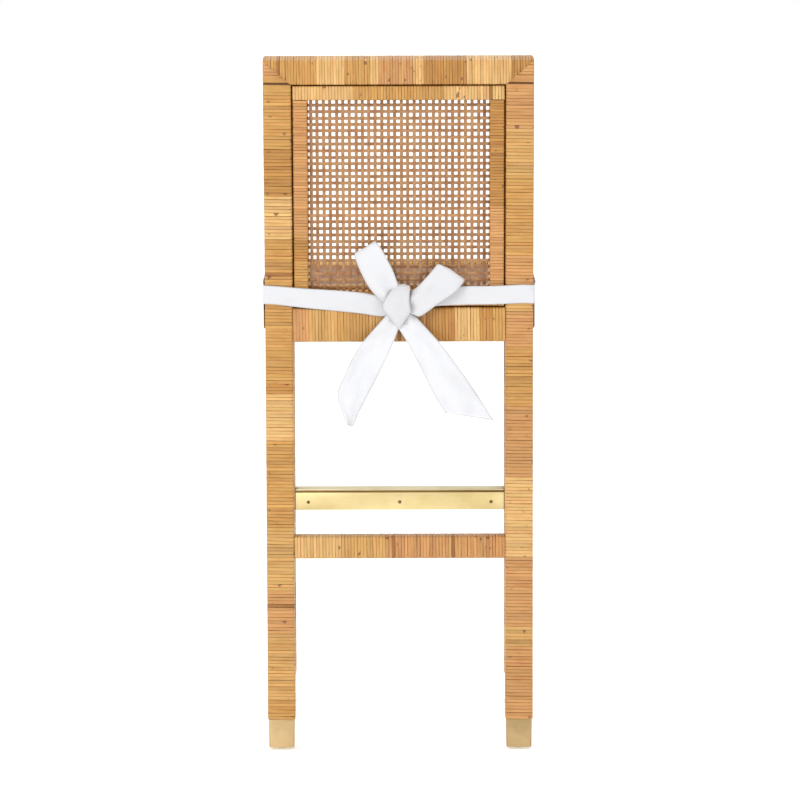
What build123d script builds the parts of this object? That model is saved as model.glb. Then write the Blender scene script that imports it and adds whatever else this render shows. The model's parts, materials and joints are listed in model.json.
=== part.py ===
"""A rattan bar stool with a raked cane back, a cane seat, a brass footrest and a tied ribbon.

The stool's back faces -Y and its front +Y. Sizes are millimetres; the origin is the middle of
the floor area under the whole stool. Every bar is a hardwood core in a wound rattan sleeve.
"""

from build123d import *
import math
import os

# Driving dimensions
REAR_WIDTH = 450.0  # outer faces of the rear posts
FRONT_WIDTH = 464.0  # outer faces of the front legs
BAR = 47.0  # leg and post width across the stool, over the rattan
BAR_DEPTH = 45.0  # the same from back to front
WRAP = 2.5  # thickness of the wound rattan
LEG_DEPTH = 450.0  # rear face of the rear posts to front face of the front legs
BEND_Z = 700.0  # where the rear posts start to lean back
RAKE = 7.5  # lean of the back in degrees
CREST_TOP_Z = 1176.0  # height of the back's rear top edge
CREST_HEIGHT = 42.0
LOWER_RAIL_HEIGHT = 59.5
LOWER_RAIL_LIFT = -2.0  # its underside, measured along the back from the bend

PANEL_GAP = 2.3  # between the back frame and the cane panel
PANEL_BAR = 24.0
PANEL_REAR = 2.0  # how far the panel's rear face lies inside the posts' rear faces
PANEL_DEPTH = 22.0
PANEL_WRAP = 1.8
PACKING_SETBACK = 5.0  # the packing strip in the gap, inside the panel's rear face
CANE_THICK = 1.2
CANE_SETBACK = 9.5  # cane behind the panel's rear face
SPLINE = 1.8

SEAT_TOP_Z = 788.0
SEAT_RAIL_HEIGHT = 72.0
SEAT_RAIL = 35.0
SEAT_PROUD = 3.0  # seat rails stand outside the legs by this
SEAT_FRONT_PROUD = 3.0
SEAT_BACK_GAP = 5.0  # rear seat rail to the rear posts
SEAT_CANE_DROP = 6.0

STRETCHER = 38.0
REAR_STRETCHER_Z = 329.0
SIDE_STRETCHER_Z = 262.0
FOOTREST_TOP_Z = 385.0
FOOTREST = 33.0
BRASS = 2.5
FOOT_SEAM = 3.5
FOOT_BACK_HEIGHT = 31.0
SCREW_HEAD_R = 2.4
SCREW_SHANK_R = 1.5
FOOT_SCREW_SPACING = 162.0

FERRULE_HEIGHT = 48.5
FERRULE_WALL = 1.0
FERRULE_SOLE = 1.5
FERRULE_TAPER = 0.6
GLIDE_R = 12.5
GLIDE_THICK = 4.5
GLIDE_ROUND = 3.0  # round of its lower edge
GLIDE_NAIL_R = 2.0
GLIDE_NAIL = 20.0

DOWEL_R = 4.0
DOWEL_REACH = 16.0  # into each of the two bars
PANEL_DOWEL_R = 2.5
PANEL_DOWEL_REACH = 9.0
FIT = 0.05  # holes for dowels and screws are this much larger in radius
BLOCK_LEG = 52.0
BLOCK_HEIGHT = 38.0
BLOCK_DROP = 24.0  # top of the corner blocks below the seat top
BLOCK_SCREW_R = 2.0

RIBBON = 32.0  # ribbon width
RIBBON_THICK = 1.4
RIBBON_CLEAR = 0.4
RIBBON_REAR_Z = 779.0  # middle of the ribbon at the posts
RIBBON_FRONT_Z = 757.0
KNOT_Z = 757.0
KNOT_HALF = 24.0  # half width of the knot
KNOT_DEPTH = 17.0
TAIL_FRONT = 10.0  # the tails' faces, behind the back frame at the knot
TAIL_BACK = 16.0

# Worked-out places, before the stool is moved onto its origin
LEAN = math.radians(RAKE)
BACK_LENGTH = (CREST_TOP_Z - BEND_Z) / math.cos(LEAN)
TOP_SETBACK = BACK_LENGTH * math.sin(LEAN)
HALF_REAR = REAR_WIDTH / 2
HALF_FRONT = FRONT_WIDTH / 2
POST_IN = HALF_REAR - BAR
FRONT_IN = HALF_FRONT - BAR
FRONT_LEG_BACK = LEG_DEPTH - BAR_DEPTH
SEAT_FRONT = LEG_DEPTH + SEAT_FRONT_PROUD
SEAT_BOTTOM_Z = SEAT_TOP_Z - SEAT_RAIL_HEIGHT
RIBBON_FRONT = SEAT_FRONT + RIBBON_CLEAR + RIBBON_THICK
LEG_WRAP_Z = GLIDE_THICK + FERRULE_HEIGHT
CORE_Z = GLIDE_THICK + FERRULE_SOLE
TO_ORIGIN = Pos(0, (TOP_SETBACK - RIBBON_FRONT) / 2, 0)
TO_BACK = Pos(0, 0, BEND_Z) * Rot(RAKE, 0, 0)
FAR = 900.0


def block(low, high):
    """A box between two corners."""
    size = [b - a for a, b in zip(low, high)]
    middle = [(a + b) / 2 for a, b in zip(low, high)]
    return Pos(*middle) * Box(*size)


def prism_z(points, low, high):
    """An upright prism on a plan outline."""
    face = make_face(Polyline(*points, close=True))
    return Pos(0, 0, low) * extrude(face, amount=high - low, dir=(0, 0, 1))


def prism_y(points, low, high):
    """A prism along Y on an outline in X and Z."""
    corners = [(x, low, z) for x, z in points]
    face = make_face(Polyline(*corners, close=True))
    return extrude(face, amount=high - low, dir=(0, 1, 0))


def prism_x(points, low, high):
    """A prism along X on an outline in Y and Z."""
    corners = [(low, y, z) for y, z in points]
    face = make_face(Polyline(*corners, close=True))
    return extrude(face, amount=high - low, dir=(1, 0, 0))


def between(a, b, share):
    """The point that lies the given share of the way from a to b."""
    return tuple(p + (q - p) * share for p, q in zip(a, b))


def narrowed(bar, share):
    """A four-point bar outline whose two long sides move in by a share of its width.

    The long sides run from the first point to the second and from the fourth to the third.
    """
    a, b, c, d = bar
    return [between(a, d, share), between(b, c, share), between(c, b, share), between(d, a, share)]


def post_outline(inset, bottom):
    """The rear post from the side, with its lean, moved in by an inset at front and rear."""
    rear, front = inset, BAR_DEPTH - inset
    turn = math.tan(LEAN / 2)
    top = BACK_LENGTH + 20

    def leaning(y):
        """The far end of a line at this depth along the leaning part."""
        end_y = y * math.cos(LEAN) - top * math.sin(LEAN)
        return end_y, BEND_Z + y * math.sin(LEAN) + top * math.cos(LEAN)

    return [
        (rear, bottom),
        (rear, BEND_Z + rear * turn),
        leaning(rear),
        leaning(front),
        (front, BEND_Z + front * turn),
        (front, bottom),
    ]


def crest_outline():
    """The crest rail in the back's own plane, mitred at both ends."""
    top = BACK_LENGTH
    low = top - CREST_HEIGHT
    return [(-HALF_REAR, top), (HALF_REAR, top), (POST_IN, low), (-POST_IN, low)]


def crest_zone():
    """All the space above the two mitres, in the stool's place."""
    a, b, c, d = crest_outline()
    slope = CREST_HEIGHT / BAR
    rise = 40.0
    left = (a[0] - rise / slope, a[1] + rise)
    right = (b[0] + rise / slope, b[1] + rise)
    return TO_BACK * prism_y([left, right, c, d], -60, 110)


def posts():
    """Core and sleeve of each rear post."""
    zone = crest_zone()
    made = {}
    for side, sign in (("left", -1), ("right", 1)):
        x0, x1 = sorted((sign * HALF_REAR, sign * POST_IN))
        outer = prism_x(post_outline(0, LEG_WRAP_Z), x0, x1)
        core = prism_x(post_outline(WRAP, CORE_Z), x0 + WRAP, x1 - WRAP)
        made[f"rear_post_{side}"] = core - zone
        made[f"rear_post_wrap_{side}"] = outer - core - zone
    return made


def front_legs():
    """Core and sleeve of each front leg, up to the underside of the seat frame."""
    made = {}
    for side, sign in (("left", -1), ("right", 1)):
        x0, x1 = sorted((sign * HALF_FRONT, sign * FRONT_IN))
        outer = block((x0, FRONT_LEG_BACK, LEG_WRAP_Z), (x1, LEG_DEPTH, SEAT_BOTTOM_Z))
        low = (x0 + WRAP, FRONT_LEG_BACK + WRAP, CORE_Z)
        core = block(low, (x1 - WRAP, LEG_DEPTH - WRAP, SEAT_BOTTOM_Z))
        made[f"front_leg_{side}"] = core
        made[f"front_leg_wrap_{side}"] = outer - core
    return made


def crest():
    """Core and sleeve of the crest rail, mitred to the posts."""
    bar = crest_outline()
    outer = TO_BACK * prism_y(bar, 0, BAR_DEPTH)
    core = TO_BACK * prism_y(narrowed(bar, WRAP / CREST_HEIGHT), WRAP, BAR_DEPTH - WRAP)
    return {"crest_rail": core, "crest_rail_wrap": outer - core}


def lower_rail():
    """Core and sleeve of the back's lower rail, between the posts."""
    low, high = LOWER_RAIL_LIFT, LOWER_RAIL_LIFT + LOWER_RAIL_HEIGHT
    outer = block((-POST_IN, 0, low), (POST_IN, BAR_DEPTH, high))
    reach = POST_IN + WRAP
    core = block((-reach, WRAP, low + WRAP), (reach, BAR_DEPTH - WRAP, high - WRAP))
    return {"back_lower_rail": TO_BACK * core, "back_lower_rail_wrap": TO_BACK * (outer - core)}


def panel_edges():
    """The cane panel's outer edges in the back's own plane: half width, bottom and top."""
    bottom = LOWER_RAIL_LIFT + LOWER_RAIL_HEIGHT + PANEL_GAP
    return POST_IN - PANEL_GAP, bottom, BACK_LENGTH - CREST_HEIGHT - PANEL_GAP


def panel():
    """The cane panel's four bars, each a core in a sleeve; the rails run over the stiles' ends."""
    half, low, high = panel_edges()
    inner, rise, fall = half - PANEL_BAR, low + PANEL_BAR, high - PANEL_BAR
    bars = {
        "panel_rail_top": [(-half, high), (half, high), (half, fall), (-half, fall)],
        "panel_rail_bottom": [(-half, low), (half, low), (half, rise), (-half, rise)],
        "panel_stile_left": [(-half, rise), (-half, fall), (-inner, fall), (-inner, rise)],
        "panel_stile_right": [(half, rise), (half, fall), (inner, fall), (inner, rise)],
    }
    rear, front = PANEL_REAR, PANEL_REAR + PANEL_DEPTH
    share = PANEL_WRAP / PANEL_BAR
    made = {}
    for name, bar in bars.items():
        core = prism_y(narrowed(bar, share), rear + PANEL_WRAP, front - PANEL_WRAP)
        made[name] = TO_BACK * core
        kind, place = name.rsplit("_", 1)
        made[f"{kind}_wrap_{place}"] = TO_BACK * (prism_y(bar, rear, front) - core)
    return made


def panel_packing():
    """The dark strip that fills the gap all round the panel."""
    half, low, high = panel_edges()
    rear, front = PANEL_REAR + PACKING_SETBACK, PANEL_REAR + PANEL_DEPTH - PACKING_SETBACK
    around = block(
        (-half - PANEL_GAP, rear, low - PANEL_GAP),
        (half + PANEL_GAP, front, high + PANEL_GAP),
    )
    return {"panel_packing": TO_BACK * (around - block((-half, rear, low), (half, front, high)))}


def back_cane():
    """The woven cane sheet of the back and the spline that holds its edge."""
    half, low, high = panel_edges()
    inner, rise, fall = half - PANEL_BAR, low + PANEL_BAR, high - PANEL_BAR
    rear = PANEL_REAR + CANE_SETBACK
    front = rear + CANE_THICK
    sheet = block((-inner, rear, rise), (inner, front, fall))
    ring = block((-inner, front, rise), (inner, front + SPLINE, fall))
    hole = block(
        (-inner + SPLINE, front, rise + SPLINE),
        (inner - SPLINE, front + SPLINE, fall - SPLINE),
    )
    return {"back_cane": TO_BACK * sheet, "back_cane_spline": TO_BACK * (ring - hole)}


def rail_outside(y):
    """Half width of the seat frame's outside at a depth y: it widens to the front."""
    share = y / LEG_DEPTH
    return HALF_REAR + SEAT_PROUD + share * (HALF_FRONT - HALF_REAR)


def rail_inside(y):
    """Half width of the opening between the side rails at a depth y."""
    return rail_outside(y) - SEAT_RAIL


def seat_frame():
    """The seat's four rails, each a core in a sleeve, mitred at the front."""
    back, inner_front = 20.0, SEAT_FRONT - SEAT_RAIL
    rear_low, rear_high = BAR_DEPTH + SEAT_BACK_GAP, BAR_DEPTH + SEAT_BACK_GAP + SEAT_RAIL
    made = {}

    def add(name, bar, behind=0.0):
        """A sleeved rail; its core runs on behind the sleeve's rear end by a length."""
        core = prism_z(narrowed(bar, WRAP / SEAT_RAIL), SEAT_BOTTOM_Z + WRAP, SEAT_TOP_Z - WRAP)
        outer = prism_z(bar, SEAT_BOTTOM_Z, SEAT_TOP_Z)
        if behind:
            outer -= prism_x(post_outline(0, 500), -FAR, FAR)
            core -= prism_x(post_outline(behind, 500), -FAR, FAR)
        made[f"seat_rail_{name}"] = core
        made[f"seat_rail_wrap_{name}"] = outer - core

    front_bar = [
        (-rail_outside(SEAT_FRONT), SEAT_FRONT),
        (rail_outside(SEAT_FRONT), SEAT_FRONT),
        (rail_inside(inner_front), inner_front),
        (-rail_inside(inner_front), inner_front),
    ]
    add("front", front_bar)
    for side, sign in (("left", -1), ("right", 1)):
        side_bar = [
            (sign * rail_outside(back), back),
            (sign * rail_outside(SEAT_FRONT), SEAT_FRONT),
            (sign * rail_inside(inner_front), inner_front),
            (sign * rail_inside(back), back),
        ]
        add(side, side_bar, WRAP)
    rear_bar = [
        (-rail_inside(rear_low), rear_low),
        (rail_inside(rear_low), rear_low),
        (rail_inside(rear_high), rear_high),
        (-rail_inside(rear_high), rear_high),
    ]
    add("rear", rear_bar)
    return {name: only_front(piece) for name, piece in made.items()}


def only_front(piece):
    """The largest solid of a piece: scraps that a cut leaves behind the posts go."""
    solids = piece.solids()
    if len(solids) < 2:
        return piece
    return max(solids, key=lambda solid: solid.volume)


def seat_opening(drop):
    """The plan of the opening inside the seat rails, moved in by a margin."""
    low = BAR_DEPTH + SEAT_BACK_GAP + SEAT_RAIL + drop
    high = SEAT_FRONT - SEAT_RAIL - drop
    return [
        (-rail_inside(low) + drop, low),
        (rail_inside(low) - drop, low),
        (rail_inside(high) - drop, high),
        (-rail_inside(high) + drop, high),
    ]


def seat_cane():
    """The woven cane sheet of the seat and the spline that holds its edge."""
    top = SEAT_TOP_Z - SEAT_CANE_DROP
    sheet = prism_z(seat_opening(0), top - CANE_THICK, top)
    ring = prism_z(seat_opening(0), top, top + SPLINE)
    hole = prism_z(seat_opening(SPLINE), top, top + SPLINE)
    return {"seat_cane": sheet, "seat_cane_spline": ring - hole}


def stretchers():
    """The rear and side stretchers, each a core in a sleeve."""
    made = {}
    reach = POST_IN + WRAP
    rear = (BAR_DEPTH - STRETCHER) / 2
    low, high = REAR_STRETCHER_Z, REAR_STRETCHER_Z + STRETCHER
    outer = block((-POST_IN, rear, low), (POST_IN, rear + STRETCHER, high))
    core = block((-reach, rear + WRAP, low + WRAP), (reach, rear + STRETCHER - WRAP, high - WRAP))
    made["rear_stretcher"] = core
    made["rear_stretcher_wrap"] = outer - core

    low, high = SIDE_STRETCHER_Z, SIDE_STRETCHER_Z + STRETCHER
    start, end = BAR_DEPTH, FRONT_LEG_BACK
    margin = (BAR - STRETCHER) / 2
    for side, sign in (("left", -1), ("right", 1)):
        out_a, out_b = HALF_REAR - margin, HALF_FRONT - margin
        slope = (out_b - out_a) / (end - start)

        def bar(inset, more):
            """The stretcher's plan, narrowed by an inset and lengthened at both ends."""
            a, b = out_a - slope * more - inset, out_b + slope * more - inset
            wide = STRETCHER - 2 * inset
            y0, y1 = start - more, end + more
            plan = [(a, y0), (b, y1), (b - wide, y1), (a - wide, y0)]
            return [(sign * x, y) for x, y in plan]

        core = prism_z(bar(WRAP, WRAP), low + WRAP, high - WRAP)
        made[f"side_stretcher_{side}"] = core
        made[f"side_stretcher_wrap_{side}"] = prism_z(bar(0, 0), low, high) - core
    return made


def footrest():
    """The front stretcher with its brass angle, rear plate and screws."""
    top = FOOTREST_TOP_Z - BRASS
    low = top - FOOTREST
    back = FRONT_LEG_BACK + (BAR_DEPTH - FOOTREST) / 2
    front = back + FOOTREST
    reach = FRONT_IN + WRAP
    half = FRONT_IN - 0.3
    rail = block((-reach, back, low), (reach, front, top))
    shelf = block((-half, back - BRASS, top), (half, front + BRASS, FOOTREST_TOP_Z))
    skirt = block((-half, front, low), (half, front + BRASS, top))
    plate_top = top - FOOT_SEAM
    plate = block((-half, back - BRASS, plate_top - FOOT_BACK_HEIGHT), (half, back, plate_top))

    screws = []
    middle = plate_top - FOOT_BACK_HEIGHT * 0.55
    for step in (-1, 0, 1):
        x = step * FOOT_SCREW_SPACING
        rear_face, front_face = back - BRASS, front + BRASS
        screws.append(wood_screw((x, rear_face, middle), 1))
        screws.append(wood_screw((x, front_face, middle), -1))
    screws = Compound(children=screws)
    return {
        "footrest_rail": rail - screws,
        "footplate_angle": Compound(children=list((shelf + skirt - screws).solids())),
        "footplate_back": plate - screws,
        "footplate_screws": screws,
    }


def wood_screw(seat, sign):
    """A small domed screw on a face at seat, going in along +Y or -Y."""
    x, y, z = seat
    turn = Rot(-90 * sign, 0, 0)
    head = Cylinder(SCREW_HEAD_R, 1.0, align=(Align.CENTER, Align.CENTER, Align.MAX))
    head = fillet(head.edges().sort_by(Axis.Z)[0:1], 0.6)
    shank = Cylinder(SCREW_SHANK_R, 14.0, align=(Align.CENTER, Align.CENTER, Align.MIN))
    return Pos(x, y, z) * turn * (head + shank)


def feet():
    """A tapered brass ferrule and a round tap-in glide for each leg."""
    places = {
        "rear_left": (-HALF_REAR + BAR / 2, BAR_DEPTH / 2),
        "rear_right": (HALF_REAR - BAR / 2, BAR_DEPTH / 2),
        "front_left": (-HALF_FRONT + BAR / 2, LEG_DEPTH - BAR_DEPTH / 2),
        "front_right": (HALF_FRONT - BAR / 2, LEG_DEPTH - BAR_DEPTH / 2),
    }
    wide = BAR - 2 * WRAP + 2 * FERRULE_WALL
    deep = BAR_DEPTH - 2 * WRAP + 2 * FERRULE_WALL
    made = {}
    for place, (x, y) in places.items():
        foot = Rectangle(wide - 2 * FERRULE_TAPER, deep - 2 * FERRULE_TAPER)
        mouth = Pos(0, 0, FERRULE_HEIGHT / 2) * Rectangle(wide, deep)
        lip = Pos(0, 0, FERRULE_HEIGHT) * Rectangle(wide, deep)
        shell = loft([foot, mouth]) + loft([mouth, lip])
        low_edges = shell.edges().group_by(Axis.Z)[0]
        shell = chamfer(low_edges, FERRULE_TAPER)
        shell = Pos(x, y, GLIDE_THICK) * shell
        core = block(
            (x - BAR / 2 + WRAP, y - BAR_DEPTH / 2 + WRAP, CORE_Z),
            (x + BAR / 2 - WRAP, y + BAR_DEPTH / 2 - WRAP, LEG_WRAP_Z),
        )
        disc = Cylinder(GLIDE_R, GLIDE_THICK, align=(Align.CENTER, Align.CENTER, Align.MIN))
        disc = fillet(disc.edges().sort_by(Axis.Z)[0:1], GLIDE_ROUND)
        nail = Cylinder(GLIDE_NAIL_R, GLIDE_NAIL, align=(Align.CENTER, Align.CENTER, Align.MIN))
        glide = Pos(x, y, 0) * (disc + Pos(0, 0, GLIDE_THICK) * nail)
        made[f"ferrule_{place}"] = shell - core - glide
        made[f"glide_{place}"] = glide
    return made


def rod(start, end, radius):
    """A round rod between two points."""
    path = Vector(*end) - Vector(*start)
    plane = Plane(origin=start, z_dir=path)
    upward = (Align.CENTER, Align.CENTER, Align.MIN)
    return plane * Cylinder(radius, path.length, align=upward)


def frame_dowels(radius):
    """The dowels that join the rails and stretchers to the posts and legs, at one radius."""
    rods = []
    inner, front_inner = POST_IN + WRAP, FRONT_IN + WRAP
    post_mid, leg_mid = BAR_DEPTH / 2, LEG_DEPTH - BAR_DEPTH / 2
    stretcher_z = REAR_STRETCHER_Z + STRETCHER / 2
    foot_z = FOOTREST_TOP_Z - BRASS - FOOTREST / 2
    side_z = SIDE_STRETCHER_Z + STRETCHER / 2
    for sign in (-1, 1):
        for face, y, z in ((inner, post_mid, stretcher_z), (front_inner, leg_mid, foot_z)):
            ends = [(sign * (face + step), y, z) for step in (-DOWEL_REACH, DOWEL_REACH)]
            rods.append(rod(*ends, radius))
        for u in (14.0, LOWER_RAIL_HEIGHT - 18.0):
            ends = [(sign * (inner + step), post_mid, u) for step in (-DOWEL_REACH, DOWEL_REACH)]
            rods.append(TO_BACK * rod(*ends, radius))
        x = HALF_REAR - BAR / 2
        rods.append(along_y(sign * x, BAR_DEPTH - WRAP, side_z, radius))
        x = HALF_FRONT - BAR / 2
        rods.append(along_y(sign * x, FRONT_LEG_BACK + WRAP, side_z, radius))
        u = BACK_LENGTH - CREST_HEIGHT / 2
        corner = HALF_REAR - BAR / 2
        ends = [(sign * (corner + step), post_mid, u) for step in (-20.0, 12.0)]
        rods.append(TO_BACK * rod(*ends, radius))
        mid_rail = HALF_REAR + SEAT_PROUD - SEAT_RAIL / 2
        rods.append(along_y(sign * mid_rail, BAR_DEPTH - 9.0, SEAT_BOTTOM_Z + 22.0, radius))
        top = (sign * (HALF_FRONT - BAR / 2), leg_mid, SEAT_BOTTOM_Z)
        ends = [(top[0], top[1], top[2] + step) for step in (-20.0, 24.0)]
        rods.append(rod(*ends, radius))
    return rods


def along_y(x, y, z, radius):
    """A dowel from front to back, centred on a joint."""
    return rod((x, y - DOWEL_REACH, z), (x, y + DOWEL_REACH, z), radius)


def panel_dowels(radius):
    """The thin dowels that hold the cane panel inside the back frame, at one radius."""
    half, low, high = panel_edges()
    mid = PANEL_REAR + PANEL_DEPTH / 2
    reach = PANEL_DOWEL_REACH
    rods = []
    for x in (-100.0, 100.0):
        rods.append(rod((x, mid, low - PANEL_GAP - reach), (x, mid, low + reach), radius))
        rods.append(rod((x, mid, high - reach), (x, mid, high + PANEL_GAP + reach), radius))
    for sign in (-1, 1):
        for u in (low + 90.0, high - 90.0):
            ends = ((sign * (half - reach), mid, u), (sign * (half + PANEL_GAP + reach), mid, u))
            rods.append(rod(*ends, radius))
    return [TO_BACK * piece for piece in rods]


def corner_blocks(radius):
    """The glued blocks inside the seat frame's corners and the screws through them, at one radius."""
    top = SEAT_TOP_Z - BLOCK_DROP
    rear_y = BAR_DEPTH + SEAT_BACK_GAP + SEAT_RAIL
    front_y = SEAT_FRONT - SEAT_RAIL
    blocks, screws = [], []
    for sign in (-1, 1):
        for y, way in ((rear_y, 1), (front_y, -1)):
            far = y + way * BLOCK_LEG
            plan = [
                (sign * rail_inside(y), y),
                (sign * (rail_inside(y) - BLOCK_LEG), y),
                (sign * rail_inside(far), far),
            ]
            blocks.append(prism_z(plan, top - BLOCK_HEIGHT, top))
            mid_z = top - BLOCK_HEIGHT / 2
            x = sign * (rail_inside(y) - 14.0)
            ends = ((x, y + way * 22.0, mid_z + 9), (x, y - way * 16.0, mid_z + 9))
            screws.append(rod(*ends, radius))
            side_y = y + way * 14.0
            start = (sign * (rail_inside(side_y) - 22.0), side_y, mid_z - 9)
            end = (sign * (rail_inside(side_y) + 16.0), side_y, mid_z - 9)
            screws.append(rod(start, end, radius))
    return blocks, screws


def ribbon_band():
    """The ribbon round the seat: across the front, along both sides, and over the rear posts."""
    gap, thick = RIBBON_CLEAR, RIBBON_THICK
    half_wide = RIBBON / 2
    lean = math.tan(LEAN)
    rear_drop = (RIBBON_REAR_Z - BEND_Z) * lean  # the posts' rear face there
    front_x = rail_outside(SEAT_FRONT) + gap
    strips = []
    front_z = RIBBON_FRONT_Z
    front = block(
        (-front_x - thick, SEAT_FRONT + gap, front_z - half_wide),
        (front_x + thick, SEAT_FRONT + gap + thick, front_z + half_wide),
    )
    strips.append(front)
    rear_y = -rear_drop - gap - thick - half_wide * lean
    side_profile = [
        (rear_y, RIBBON_REAR_Z - half_wide),
        (SEAT_FRONT + gap, front_z - half_wide),
        (SEAT_FRONT + gap, front_z + half_wide),
        (rear_y, RIBBON_REAR_Z + half_wide),
    ]
    for sign in (-1, 1):
        slab = prism_x(side_profile, -FAR, FAR)
        plan = [
            (sign * (rail_outside(rear_y) + gap), rear_y),
            (sign * (front_x), SEAT_FRONT + gap),
            (sign * (front_x + thick), SEAT_FRONT + gap),
            (sign * (rail_outside(rear_y) + gap + thick), rear_y),
        ]
        strips.append(prism_z(plan, 600, 900) & slab)
        strips.append(rear_run(sign))
    return strips


def rear_run(sign):
    """The ribbon from one post's outer corner, sloping down to the knot, in the leaning plane."""
    gap, thick = RIBBON_CLEAR, RIBBON_THICK
    half_wide = RIBBON / 2
    outer_x = rail_outside(-20) + gap + thick
    outer_u = (RIBBON_REAR_Z - BEND_Z) / math.cos(LEAN)
    knot_u = (KNOT_Z - BEND_Z) / math.cos(LEAN)
    outline = [
        (sign * outer_x, outer_u - half_wide),
        (sign * KNOT_HALF, knot_u - half_wide + 2),
        (sign * KNOT_HALF, knot_u + half_wide - 2),
        (sign * outer_x, outer_u + half_wide),
    ]
    return TO_BACK * prism_y(outline, -gap - thick, -gap)


def bow():
    """The knot, two loops and two tails of the ribbon, as plain closed solids."""
    gap = RIBBON_CLEAR
    u = (KNOT_Z - BEND_Z) / math.cos(LEAN)
    knot = block((-KNOT_HALF, -gap - KNOT_DEPTH, u - 21), (KNOT_HALF, -gap, u + 21))
    knot = fillet(knot.edges().filter_by(Axis.Z), 6.0)
    rear, front = -gap - 13.0, -gap - RIBBON_THICK - 1.0
    loop_left = [(-KNOT_HALF, u - 2), (-KNOT_HALF, u + 19), (-33, u + 84), (-74, u + 68), (-58, u + 20)]
    loop_right = [(KNOT_HALF, u - 16), (KNOT_HALF, u + 19), (64, u + 70), (110, u + 32), (66, u - 10)]
    tail_left = [(-22, u - 25), (0, u - 25), (-36, u - 114), (-76, u - 198), (-102, u - 133), (-61, u - 60)]
    tail_right = [(2, u - 25), (36, u - 25), (69, u - 62), (156, u - 188), (76, u - 175), (41, u - 112)]
    hang = Pos(0, -u * math.sin(LEAN), BEND_Z)  # the tails hang upright from the knot
    return {
        "ribbon_knot": TO_BACK * knot,
        "ribbon_loop_left": TO_BACK * prism_y(loop_left, rear, front),
        "ribbon_loop_right": TO_BACK * prism_y(loop_right, rear, front),
        "ribbon_tail_left": hang * prism_y(tail_left, -gap - TAIL_BACK, -gap - TAIL_FRONT),
        "ribbon_tail_right": hang * prism_y(tail_right, -gap - TAIL_BACK, -gap - TAIL_FRONT),
    }


def touches(first, second):
    """True where two shapes' boxes overlap."""
    a, b = first.bounding_box(), second.bounding_box()
    low = [max(p, q) for p, q in zip(a.min, b.min)]
    high = [min(p, q) for p, q in zip(a.max, b.max)]
    return all(p < q for p, q in zip(low, high))


def let_in(pieces, inserts, names):
    """Cuts each insert's place out of the named pieces."""
    for name in names:
        for insert in inserts:
            if touches(pieces[name], insert):
                pieces[name] = pieces[name] - insert


def build():
    """All nodes of the stool, in their places before the move onto the origin."""
    pieces = {}
    for part in (posts, front_legs, crest, lower_rail, panel, panel_packing, seat_frame, stretchers):
        pieces.update(part())
    bars = list(pieces)
    foot = footrest()
    pieces.update(foot)

    cores = [name for name in bars if "_wrap" not in name and "packing" not in name]
    cores.append("footrest_rail")
    for name in [name for name in bars if name.startswith(("rear_post_wrap", "front_leg_wrap"))]:
        let_in(pieces, [pieces[core] for core in cores if "leg" not in core and "post" not in core], [name])

    glides = feet()
    blocks, block_holes = corner_blocks(BLOCK_SCREW_R + FIT)
    let_in(pieces, frame_dowels(DOWEL_R + FIT), bars + ["footrest_rail"])
    let_in(pieces, panel_dowels(PANEL_DOWEL_R + FIT), bars)
    let_in(pieces, block_holes, bars)
    nails = [piece for name, piece in glides.items() if name.startswith("glide")]
    let_in(pieces, nails, cores)

    pieces["dowels"] = Compound(children=frame_dowels(DOWEL_R) + panel_dowels(PANEL_DOWEL_R))
    pieces["corner_blocks"] = Compound(children=[cut_all(piece, block_holes) for piece in blocks])
    pieces["corner_block_screws"] = Compound(children=corner_blocks(BLOCK_SCREW_R)[1])
    pieces.update(glides)
    pieces.update(back_cane())
    pieces.update(seat_cane())
    band = ribbon_band()
    joined = band[0]
    for strip in band[1:]:
        joined = joined + strip
    pieces["ribbon_band"] = joined
    pieces.update(bow())
    return pieces


def cut_all(piece, inserts):
    """A piece with every insert cut out of it."""
    for insert in inserts:
        piece = piece - insert
    return piece.solids()[0]


def main():
    """Writes one file for each node."""
    os.makedirs("parts", exist_ok=True)
    for name, piece in build().items():
        export_step(TO_ORIGIN * piece, f"parts/{name}.step")


main()
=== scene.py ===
import bpy
import json
import math
import random
from mathutils import Matrix, Vector, noise


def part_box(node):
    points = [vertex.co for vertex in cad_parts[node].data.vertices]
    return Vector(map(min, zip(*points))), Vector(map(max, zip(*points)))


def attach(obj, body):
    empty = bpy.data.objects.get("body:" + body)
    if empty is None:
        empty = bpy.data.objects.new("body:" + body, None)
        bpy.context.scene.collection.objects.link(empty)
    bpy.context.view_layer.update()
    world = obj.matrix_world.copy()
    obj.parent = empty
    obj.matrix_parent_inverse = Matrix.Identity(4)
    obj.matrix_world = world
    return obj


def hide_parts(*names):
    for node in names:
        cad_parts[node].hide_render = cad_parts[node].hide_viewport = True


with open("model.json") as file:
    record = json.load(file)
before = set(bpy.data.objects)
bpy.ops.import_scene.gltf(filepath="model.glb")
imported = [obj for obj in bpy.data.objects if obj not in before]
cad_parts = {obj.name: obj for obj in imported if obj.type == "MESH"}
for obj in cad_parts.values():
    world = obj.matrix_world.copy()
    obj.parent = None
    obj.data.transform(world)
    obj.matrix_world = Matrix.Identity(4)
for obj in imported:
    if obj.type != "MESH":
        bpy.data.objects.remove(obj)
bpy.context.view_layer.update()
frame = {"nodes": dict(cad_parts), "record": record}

# The stool's own measures, in metres
RAKE = math.radians(7.5)  # lean of the back
BEND_Z = 0.700  # height where the rear posts start to lean
BEND_REACH = 0.025  # the bend is eased over this length each way
LEG_PITCH = 0.0057  # one turn of the winding on legs and posts
RAIL_PITCH = 0.0053  # seat rails, stretchers and the back's lower rail
CREST_PITCH = 0.0047
PANEL_PITCH = 0.0050
BAR_ROUND = 0.0045  # rounding of a wound bar's long edges
PANEL_ROUND = 0.003
SEAM_SETBACK = 0.0035  # the post's seam lies this far above the crest's lower edge
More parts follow.
